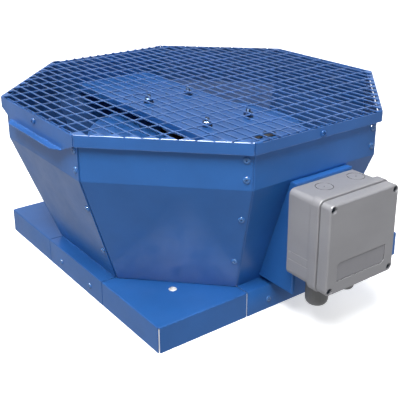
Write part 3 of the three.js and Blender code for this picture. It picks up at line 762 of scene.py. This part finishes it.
def guard_outline():
    """The flat pattern: an octagon with a strip to fold down on each side."""
    start, half = FOLD_START, FOLD_START * OCTAGON
    end = half - 0.5
    strip = FOLD_START + FOLD_ARC + GUARD_FLANGE - GUARD_FOLD
    grip = LIP_START + LIP_ARC / 2
    lip = LIP_START + LIP_ARC + GUARD_LIP - LIP_FOLD
    points = []
    for side in range(8):
        pattern = [(-half, start), (-end, start), (-end, strip)]
        if side % 4 == 2:
            pattern += [(-86, grip), (-68, lip), (68, lip), (86, grip)]
        pattern += [(end, strip), (end, start)]
        out = outward(side)
        for x, n in pattern:
            points.append((n * out.x - x * out.y, n * out.y + x * out.x))
    return points


def fold_guard(point, side):
    """Moves a point of the flat pattern on one side to its folded place."""
    out = outward(side).to_2d()
    along = Vector((-out.y, out.x))
    flat = point.to_2d()
    distance, slide = flat.dot(out), flat.dot(along)
    past = distance - FOLD_START
    if past <= 1e-6:
        return None
    if past < FOLD_ARC:
        a = past / GUARD_FOLD
        n, z = FOLD_START + GUARD_FOLD * math.sin(a), GUARD_TOP - GUARD_FOLD * (1 - math.cos(a))
    else:
        n, z = GUARD_HALF, GUARD_TOP - GUARD_FOLD - (past - FOLD_ARC)
        if side % 4 == 2:
            over = distance - LIP_START
            if over > 0:
                a = min(over / LIP_FOLD, math.pi / 2)
                rest = max(0.0, over - LIP_ARC)
                n = GUARD_HALF + LIP_FOLD * (1 - math.cos(a)) + rest
                z = GUARD_GRIP_LOW + LIP_FOLD + SHEET - LIP_FOLD * math.sin(a)
    spot = out * n + along * slide
    return Vector((spot.x, spot.y, z))


def guard():
    bm = bmesh.new()
    fill(bm, [guard_outline()] + guard_cells(), GUARD_TOP)
    for side in range(8):
        out = outward(side)
        lines = [FOLD_START + FOLD_ARC * i / 4 for i in range(5)]
        if side % 4 == 2:
            lines += [LIP_START + LIP_ARC * i / 4 for i in range(5)]
        for distance in lines:
            near = [face for face in bm.faces if face.calc_center_median().dot(out) > FOLD_START - 30]
            verts = list({vert for face in near for vert in face.verts})
            edges = list({edge for face in near for edge in face.edges})
            bmesh.ops.bisect_plane(bm, geom=verts + edges + near, dist=1e-4, plane_co=out * distance,
                                   plane_no=out)
    for vert in bm.verts:
        nearest = max(range(8), key=lambda side: vert.co.dot(outward(side)))
        place = fold_guard(vert.co, nearest)
        if place is not None:
            vert.co = place
    weld(bm)
    finish_piece("guard_skin", bm, "blue_coat", ["guard", "guard_rim"], bevel=0.42,
                 segments=1, solidify=SHEET, material=GUARD_COAT)


def cross_recess(bm, radius, depth, matrix):
    arm = radius * 0.22
    reach = radius * 0.62
    for degrees in (0, 90):
        block(bm, (-reach, -arm, -depth), (reach, arm, 0.5), matrix @ turn(degrees))


def guard_screws():
    for number, side in enumerate(SIDES):
        name = f"guard_screw_{side}"
        low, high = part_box(name)
        height = (low.z + high.z) / 2 / MM
        seat = GUARD_HALF + 0.3
        head, crown, shank, tip = 4.6, 2.8, 2.4, -14.5
        matrix = turn(number * 90) @ facing_front(0, seat, height)
        bm = bmesh.new()
        dome = [(head * math.sin(a), 1.0 + 1.8 * math.cos(a)) for a in (0.0, 0.3, 0.6, 0.9, 1.2, 1.45)]
        dome[0] = (0, crown)
        pairs = dome + [(head, 0.9), (head, 0), (shank, 0), (shank, tip + 1.5), (1.6, tip), (0, tip)]
        lathe(bm, pairs, 32, matrix)
        recess = matrix @ at(0, 0, crown + 0.1)
        cut = lambda tool, place=recess: cross_recess(tool, head, 1.7, place)
        finish_piece(f"screw_guard_{side}", bm, "blue_coat", [name], bevel=0.15, cuts=[cut])


# ---- Motor bridge and its studs ----
def bridge():
    low, high = cad_box("motor_bridge")
    half, reach = high.x, high.y - AXIS_Y
    side_low = BRIDGE_TOP - 11
    flat, end = half - 4, reach - 3
    fold = 2.6
    bm = bmesh.new()
    corners = [(-half, side_low), (-half, BRIDGE_TOP), (half, BRIDGE_TOP), (half, side_low)]
    profile = rounded_profile(corners, fold)
    middle = len(profile) // 2
    profile = profile[:middle] + [(-flat, BRIDGE_TOP), (flat, BRIDGE_TOP)] + profile[middle:]
    grid(bm, [[(x, y, z) for x, z in profile] for y in (end, -end)][::-1])
    for sign in (1, -1):
        bent = rounded_profile([(end, BRIDGE_TOP), (reach, BRIDGE_TOP), (reach, low.z)], fold)
        rows = [[(x * -sign, sign * n, z) for x in (-flat, flat)] for n, z in bent]
        grid(bm, [row[::-1] for row in rows])
    weld(bm)
    face_out(bm)
    top = max(bm.faces, key=lambda face: face.calc_area())
    if top.normal.z < 0:
        bmesh.ops.reverse_faces(bm, faces=bm.faces)

    def holes(tool):
        for x, y, share in GROMMETS:
            lathe(tool, rod(8 * share, -9, 9), 40, at(x, y, BRIDGE_TOP))
        for x, y in stud_places():
            lathe(tool, rod(STUD_BORE, -9, 9), 24, at(x, y, BRIDGE_TOP))

    finish_piece("bridge_skin", bm, "blue_coat", ["motor_bridge"], bevel=0.35,
                 solidify=BRIDGE_SHEET, cuts=[holes])

    bm = bmesh.new()
    under = [(0, -1.2), (4.6, -1.2), (5.2, -3.6), (9.6, -3.6), (10.4, -2.9), (10.4, -2.2), (7.8, -2.0)]
    upper = [(7.8, 0.1), (10.6, 0.1), (10.6, 1.2), (9.4, 2.6), (6.4, 2.8), (5.2, 1.9), (4.6, -0.2)]
    for x, y, share in GROMMETS:
        pairs = [(radius * share, height) for radius, height in under + upper + [(0, -0.2)]]
        lathe(bm, pairs, 40, at(x, y, BRIDGE_TOP))
    finish_piece("bridge_grommets", bm, "rubber", bevel=0.3)


def stud_places():
    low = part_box("motor_bolt_1")
    x, y = (low[0].x + low[1].x) / 2 / MM, (low[0].y + low[1].y) / 2 / MM - AXIS_Y
    return [(x, y), (-x, y), (-x, -y), (x, -y)]


def studs():
    """Washer, chamfered nut and the threaded end of the stud that comes out of it."""
    washer, nut, chamfer, crest, root, pitch = 1.6, 6.5, 0.9, 3.9, 3.35, 1.25
    for number, (x, y) in enumerate(stud_places()):
        name = f"motor_bolt_{number + 1}"
        bottom, top = (corner.z for corner in cad_box(name))
        seat = BRIDGE_TOP + 0.3
        nut_low = seat + washer
        nut_high = nut_low + nut
        place = at(x, y)
        bm = bmesh.new()
        lathe(bm, tube(4.2, 8.5, seat, nut_low), 40, place)
        hexagon = [(7.5, nut_low + chamfer), (7.5, nut_high - chamfer), (6.5, nut_high), (4.1, nut_high),
                   (4.1, nut_low), (6.5, nut_low)]
        twist = Matrix.Rotation(0.35 * number + 0.2, 4, "Z")
        lathe(bm, hexagon, 6, place @ twist)
        pairs = [(0, top), (2.7, top), (crest, top - 1.0)]
        height = top - 1.3
        while height > nut_high + 0.3:
            pairs += [(root, height), (crest, height - 0.6)]
            height -= pitch
        pairs += [(3.4, nut_high - 0.5), (3.4, bottom + 0.8), (2.6, bottom), (0, bottom)]
        lathe(bm, pairs, 28, place)
        finish_piece(f"stud_{number + 1}", bm, "zinc_steel", [name], bevel=0.2, angle=40,
                     material=STUD_STEEL)


# ---- Impeller and motor ----
def shroud_line(depth):
    """The shroud's line in (radius, height), at a depth inside its outer face."""
    low, high = cad_box("impeller_shroud")
    spread, rise = high.x - EYE_RADIUS, high.z - EYE_TOP
    steps = 14
    line = [(EYE_RADIUS + depth, low.z), (EYE_RADIUS + depth, EYE_TOP)]
    for i in range(1, steps + 1):
        a = i / steps * math.pi / 2
        slope = math.atan2(rise * math.cos(a), spread * math.sin(a))
        line.append((EYE_RADIUS + spread * (1 - math.cos(a)) + depth * math.sin(slope),
                     EYE_TOP + rise * math.sin(a) - depth * math.cos(slope)))
    return line


def height_on(line, radius, least):
    """The height of a line of (radius, height) points at a radius, but at least a given height."""
    for (r1, z1), (r2, z2) in zip(line, line[1:]):
        if r1 <= radius <= r2:
            least = max(least, z1 + (z2 - z1) * (radius - r1) / (r2 - r1) + 0.2)
    return least


def impeller():
    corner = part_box("impeller_back_plate")[1]
    radius, top = corner.x / MM, corner.z / MM
    hub, groove = 60.8, top - 0.6
    bm = bmesh.new()
    plate = [(hub, top - SHEET), (radius, top - SHEET), (radius, top), (96, top), (93, groove), (88, groove),
             (85, top), (hub, top)]
    lathe(bm, plate, 144)
    finish_piece("impeller_disc", bm, "blue_coat", ["impeller_back_plate"], "rotor", bevel=0.3)

    bm = bmesh.new()
    lathe(bm, shroud_line(0) + shroud_line(SHEET)[::-1], 144)
    finish_piece("impeller_ring", bm, "blue_coat", ["impeller_shroud"], "rotor", bevel=0.3, angle=40)

    inner, outer = EYE_RADIUS - 9, radius - 1
    passage = shroud_line(-GAP)[1:]
    steps = 16
    for number in range(BLADES):
        bm = bmesh.new()
        columns = []
        for i in range(steps + 1):
            t = i / steps
            r = inner + (outer - inner) * t
            a = -BLADE_SWEEP * (0.55 * t + 0.45 * t * t)
            x, y = r * math.cos(a), r * math.sin(a)
            columns.append([(x, y, height_on(passage, r, EYE_TOP + 4)), (x, y, top - 1.9)])
        grid(bm, columns)
        spin(bm, number * 2 * math.pi / BLADES)
        name = f"impeller_blade_{number + 1}"
        finish_piece(f"blade_{number + 1}", bm, "blue_coat", [name], "rotor", bevel=0.3, solidify=1.6)

    bm = bmesh.new()
    shell = [(0, 135), (60, 135)]
    shell += [(62 + 6 * math.sin(a), 141 - 6 * math.cos(a)) for a in (0.2, 0.6, 1.0, 1.4)]
    shell += [(68, 196.5), (72, 198.4), (82, 199.7), (82, 202.6), (66, 202.6), (64.8, 200), (64.8, 141.5),
              (61, 138.5), (0, 138.5)]
    lathe(bm, shell, 96)
    finish_piece("motor_cup", bm, "black_coat", ["rotor_shell"], "rotor", bevel=0.4, angle=40)


def inlet():
    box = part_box("inlet_cone")
    foot, lip, spread = box[0].z / MM, box[1].z / MM, box[1].x / MM
    throat = spread - 40
    rise, narrowing = lip - foot - 10, 26
    inner, outer = [], []
    steps = 16
    for i in range(steps + 1):
        a = i / steps * math.pi / 2
        r, z = throat + narrowing * (1 - math.sin(a)), foot + rise * (1 - math.cos(a))
        slope = math.atan2(rise * math.sin(a), narrowing * math.cos(a))
        inner.append((r, z))
        outer.append((r + SHEET * math.sin(slope), z + SHEET * math.cos(slope)))
    loop = inner + [(throat, lip), (throat + SHEET, lip)] + outer[::-1]
    loop += [(spread, foot + SHEET), (spread, foot)]
    bm = bmesh.new()
    lathe(bm, loop, 144)
    finish_piece("inlet_skin", bm, "galvanised", ["inlet_cone"], bevel=0.3, angle=40)

    low, high = cad_box("base_plate")
    half = high.x
    bm = bmesh.new()
    square = [(-half, -half), (half, -half), (half, half), (-half, half)]
    holes = [circle(FIXING_HOLE_RADIUS, x, y) for x, y in FIXING_HOLES]
    fill(bm, [square, circle(throat + narrowing, count=144)] + holes, high.z)
    finish_piece("base_plate_skin", bm, "galvanised", ["base_plate"], bevel=0.3, solidify=SHEET)

    # Pale liners in the fixing holes: painted light, so the holes look bright through.
    bm = bmesh.new()
    for x, y in FIXING_HOLES:
        sleeve = tube(5.55, FIXING_HOLE_RADIUS - 0.1, low.z - 5, BASE_HEIGHT - 0.1)
        lathe(bm, sleeve, 48, at(x, y))
    finish_piece("hole_sleeves", bm, "galvanised", bevel=0.15, material=hole_painted_light_sleeve())


# ---- Terminal box ----
def rounded_outline(corners, steps, inset=0.0):
    """An outline round four corners (x, z, radius), from the top right leftwards, moved in by inset."""
    points = []
    for quarter, (x, z, radius) in enumerate(corners):
        sx, sz = QUARTERS[quarter]
        for i in range(steps + 1):
            a = (quarter + i / steps) * math.pi / 2
            points.append((x - sx * radius + (radius - inset) * math.cos(a),
                           z - sz * radius + (radius - inset) * math.sin(a)))
    return points


def rounded_square(half, corner):
    """A square with rounded corners, centred on the box."""
    return rounded_outline([(BOX_X + sx * half, BOX_Z + sz * half, corner) for sx, sz in QUARTERS], 8)


def label_panel(inset=0.0):
    """Outline of the lid's recessed label panel, with two round and two almost square corners."""
    left, right, bottom, top = BOX_X - 46.2, BOX_X + 46.2, BOX_Z - 46.8, BOX_Z - 19.5
    small, large = 1.2, 6.0
    corners = [(right, top, small), (left, top, large), (left, bottom, small), (right, bottom, large)]
    return rounded_outline(corners, 5, inset)


def cavity(half, pillar):
    """A square about the box's centre less its four corners, where the screw pillars stand."""
    inner = half - pillar
    points = []
    for quarter in range(4):
        angle = quarter * math.pi / 2
        for x, z in ((half, -inner), (half, inner), (inner, inner)):
            points.append((BOX_X + x * math.cos(angle) - z * math.sin(angle),
                           BOX_Z + x * math.sin(angle) + z * math.cos(angle)))
    return points


def plate_out(bm, points, near, far):
    """An outline in (x, z) made into a solid between two distances in front of the axis."""
    matrix = Matrix(((1, 0, 0, 0), (0, 0, -1, 0), (0, 1, 0, 0), (0, 0, 0, 1)))
    prism(bm, points, near, far, matrix)


def round_out(bm, pairs, x, z, segments=32):
    """A turned solid whose axis points out of the front, from (radius, distance) pairs."""
    lathe(bm, pairs, segments, facing_front(x, 0, z))


def stacked(bm, outlines):
    """A closed solid through outlines, each a list of (x, z) and a distance in front of the axis."""
    made = grid(bm, [[(x, -distance, z) for x, z in points] for points, distance in outlines], closed=True)
    bm.faces.new(made[0])
    bm.faces.new(made[-1][::-1])
    face_out(bm)


def box_screw_places():
    boxes = [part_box(f"lid_screw_{number}") for number in range(1, 5)]
    return [((low.x + high.x) / 2 / MM, (low.z + high.z) / 2 / MM) for low, high in boxes]


def box_body():
    rim_start = RIM_END - RIM_DEPTH
    nuts = [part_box(f"gland_nut_{number}") for number in (1, 2)]
    gland_y = (nuts[0][0].y + nuts[0][1].y) / 2 / MM - AXIS_Y
    top = BOX_Z + BOX_HALF - BODY_INSET

    def rim(tool):
        edge = ((2.0, rim_start), (0.6, rim_start + 0.6), (0, rim_start + 2.0),
                (0, RIM_END - 1.6), (0.5, RIM_END - 0.5), (1.6, RIM_END))
        stacked(tool, [(rounded_square(BOX_HALF + RIM_PROUD - cut, 10.5 - cut), n) for cut, n in edge])

    def hollow(tool):
        outline = cavity(BOX_HALF - BOX_WALL - BODY_INSET / 2, 13)
        plate_out(tool, outline, BOX_BACK + BOX_WALL, RIM_END + 5)

    def small_holes(tool):
        round_out(tool, rod(6.6, BOX_BACK - 5, BOX_BACK + 8), 0, 182.6)
        for x, z in box_screw_places():
            round_out(tool, rod(2.4, RIM_END - 14, RIM_END + 5), x, z, 16)
        for low, high in nuts:
            x, radius = (low.x + high.x) / 2 / MM, (high.x - low.x) / 2 / MM
            lathe(tool, rod(radius * 0.76, 75, 95), 40, at(x, gland_y))

    def knockouts(tool):
        for x in KNOCKOUTS:
            place = at(x, gland_y, top)
            lathe(tool, tube(11.5, 12.6, -KNOCKOUT_DEPTH, 1), 56, place)
            lathe(tool, rod(1.1, 0.1 - KNOCKOUT_DEPTH, 1), 16, place)
        for rise in (26, 38):
            height = BOX_Z - BOX_HALF + rise
            block(tool, (BOX_X - BOX_HALF - 1, -BOX_BACK - 40, height),
                  (BOX_X - BOX_HALF + BODY_INSET + 0.4, -BOX_BACK - 3, height + 0.7))

    bm = bmesh.new()
    plate_out(bm, rounded_square(BOX_HALF - BODY_INSET, 8.5), BOX_BACK, rim_start + 3)
    body = finish_piece("box_body", bm, "box_plastic", ["terminal_box"], bevel=0.7, segments=3,
                        joins=[rim], cuts=[hollow, small_holes, knockouts])
    # Faces down in the knock-out grooves get the darker plastic: painted shade.
    body.data.materials.append(GROOVE_PAINTED_SHADE)
    for face in body.data.polygons:
        x, y, z = face.center.x / MM, face.center.y / MM - AXIS_Y, face.center.z / MM
        near = min(math.hypot(x - spot, y - gland_y) for spot in KNOCKOUTS)
        if near < 13 and top - KNOCKOUT_DEPTH - 0.3 < z < top - 0.12:
            face.material_index = 1


def box_lid():
    corner, lip, shoulder = 7.5, LID_BACK - 1.7, LID_FRONT - 2.5
    outer = rounded_square(BOX_HALF, corner)
    outlines = [(rounded_square(BOX_HALF - 0.4, corner - 0.4), lip), (outer, lip + 0.5)]
    for cut, depth in ((0, 0.0), (0.35, 1.1), (1.0, 1.9), (2.2, 2.5)):
        outlines.append((rounded_square(BOX_HALF - cut, corner - cut), shoulder + depth))

    def seal_step(tool):
        plate_out(tool, rounded_square(BOX_HALF - 1.7, 5.8), LID_BACK - 3, LID_BACK)

    def lid_hollow(tool):
        plate_out(tool, cavity(BOX_HALF - BOX_WALL, 12), LID_BACK - 2, LID_FRONT - BOX_WALL)

    def label_recess(tool):
        plate_out(tool, label_panel(), LID_FRONT - LABEL_DEPTH, LID_FRONT + 2)

    def label_groove(tool):
        section = ((0, 0.5), (0, 1.9), (0.9, 1.9), (0.9, 0.5), (0, 0.5))
        grid(tool, [[(x, depth - LID_FRONT, z) for x, z in label_panel(inset)] for inset, depth in section],
             closed=True)
        weld(tool)
        face_out(tool)

    def lid_holes(tool):
        floor, sink, face = LID_FRONT - 6, LID_FRONT - 0.8, LID_FRONT + 2
        stepped = [(0, LID_BACK - 2), (2.4, LID_BACK - 2), (2.4, floor), (4.3, floor), (4.3, sink),
                   (5.2, sink), (5.2, face), (0, face)]
        for x, z in box_screw_places():
            round_out(tool, stepped, x, z, 32)

    bm = bmesh.new()
    stacked(bm, outlines)
    shell = finish_piece("lid_shell", bm, "box_plastic", ["terminal_box_lid"], "box_lid", bevel=0.3,
                         segments=2, cuts=[seal_step, lid_hollow, label_recess, label_groove, lid_holes])
    shell.data.materials.append(LABEL_FIELD)
    field = (AXIS_Y - LID_FRONT + LABEL_DEPTH) * MM
    for face in shell.data.polygons:
        if abs(face.center.y - field) < 0.00005 and abs(face.normal.y) > 0.9:
            face.material_index = 1


def lid_screws():
    head, tip = LID_FRONT - 2.2, RIM_END - 10
    pairs = [(0, head), (2.6, head), (3.9, head - 1.1), (3.9, head - 3.4), (2.0, head - 3.6),
             (2.0, tip + 1), (1.2, tip), (0, tip)]
    for number, (x, z) in enumerate(box_screw_places()):
        bm = bmesh.new()
        round_out(bm, pairs, x, z, 28)
        twist = Matrix.Rotation(0.5 + 0.6 * number, 4, "Z")
        recess = facing_front(x, head, z) @ twist
        cut = lambda tool, place=recess: cross_recess(tool, 3.9, 1.6, place)
        finish_piece(f"box_screw_{number + 1}", bm, "zinc_steel", [f"lid_screw_{number + 1}"], "box_lid",
                     bevel=0.15, cuts=[cut])


def bracket():
    low, high = cad_box("terminal_bracket")
    front, top, bottom = AXIS_Y - low.y, high.z, low.z
    left, right = low.x, high.x
    behind = 200
    line = rounded_profile([(left, -behind), (left, -front), (right, -front), (right, -behind)], 2.2)
    bm = bmesh.new()
    grid(bm, [[(x, y, z) for x, y in line] for z in (top - 1.0, bottom)])

    def top_plate(tool):
        block(tool, (left + 0.2, -front + 0.4, top - SHEET), (right - 0.2, -behind, top))

    def behind_wall(tool):
        foot, gap = bottom - 10, 0.6
        points = [(sloped_wall(foot) + gap, foot), (sloped_wall(BEND_HEIGHT) + gap, BEND_HEIGHT),
                  (150, BEND_HEIGHT), (150, foot)]
        matrix = Matrix(((0, 0, 1, 0), (-1, 0, 0, 0), (0, 1, 0, 0), (0, 0, 0, 1)))
        prism(tool, points, left - 10, right + 10, matrix)

    def window(tool):
        block(tool, (left + 5, -front - 5, bottom - 5), (right - 5, -front + 5, 92))
        round_out(tool, rod(9, 280, 295), 0, 184)

    finish_piece("bracket_skin", bm, "blue_coat", ["terminal_bracket"], bevel=0.3, solidify=SHEET,
                 joins=[top_plate], cuts=[behind_wall, window])


def glands():
    for number in (1, 2):
        low, high = cad_box(f"gland_nut_{number}")
        radius = (high.x - low.x) / 2
        x, y = (low.x + high.x) / 2, (low.y + high.y) / 2 - AXIS_Y
        foot, head = (corner.z for corner in cad_box(f"gland_body_{number}"))
        floor = head - 9
        hex_top, hex_low = floor + 1.2, floor - 9.3
        bore, neck, thread = radius * 0.42, radius * 0.66, radius * 0.74
        across, inner = radius * 0.98, bore + 0.5
        place = at(x, y)
        bm = bmesh.new()
        lathe(bm, tube(bore, neck, foot, hex_low + 1), 40, place)
        hexagon = [(inner, hex_low), (radius * 0.92, hex_low), (across, hex_low + 0.8),
                   (across, hex_top - 0.8), (radius * 0.92, hex_top), (inner, hex_top)]
        lathe(bm, hexagon, 6, place)
        lathe(bm, tube(bore, thread, hex_top - 1, head), 40, place)
        finish_piece(f"gland_fitting_{number}", bm, "dark_plastic", [f"gland_body_{number}"],
                     bevel=0.3)
        gland_cap(number, low, high, (x, y), foot)


def gland_cap(number, low, high, centre, foot):
    """A domed nut with fine grip grooves round its straight part."""
    radius = (high.x - low.x) / 2
    bore, neck, dome, groove_depth = radius * 0.42, radius * 0.66 + 0.4, 8.0, 0.35
    inside = [(neck, high.z), (neck, foot - 1.0), (bore, foot - 3.0), (bore, low.z + 1.0),
              (radius * 0.5, low.z)]
    outside = [(radius * 0.62, low.z), (radius * 0.80, low.z + 0.5), (radius * 0.92, low.z + dome * 0.35),
               (radius * 0.985, low.z + dome * 0.75), (radius, low.z + dome)]
    grooved = [(radius, low.z + dome + 1.0), (radius, high.z - 1.2)]
    count = 96
    rings = []
    bm = bmesh.new()
    for r, z in inside + outside + grooved + [(radius * 0.97, high.z)]:
        ring = []
        for i in range(count):
            a = 2 * math.pi * i / count
            reach = r - (groove_depth if (r, z) in grooved and i % 4 == 0 else 0.0)
            ring.append((centre[0] + reach * math.cos(a), centre[1] + reach * math.sin(a), z))
        rings.append(ring)
    grid(bm, rings + [rings[0]], closed=True)
    weld(bm)
    face_out(bm)
    body = "gland_nut_left" if number == 1 else "gland_nut_right"
    finish_piece(f"gland_cap_{number}", bm, "dark_plastic", [f"gland_nut_{number}"], body, bevel=0.2,
                 angle=28)


# ---- Inner pieces that keep their CAD shape ----
def dress_cad_nodes():
    slots = {entry["node"]: entry["material_slot"] for entry in frame["record"]["subparts"]}
    for name, node in frame["nodes"].items():
        if node.hide_render:
            continue
        node.data.materials.clear()
        node.data.materials.append(MATERIALS[slots[name]])


def build():
    camera()
    stage()
    for number, name in enumerate(SIDES):
        casing_panel(name + "_panel", 2 * number, True)
    for number, name in enumerate(CORNERS):
        casing_panel(name + "_panel", 2 * number + 1, False)
    for number, name in enumerate(CORNERS):
        base_corner("base_corner_" + name, number)
    rivets()
    guard()
    guard_screws()
    bridge()
    studs()
    impeller()
    inlet()
    box_body()
    box_lid()
    lid_screws()
    bracket()
    glands()
    dress_cad_nodes()


build()
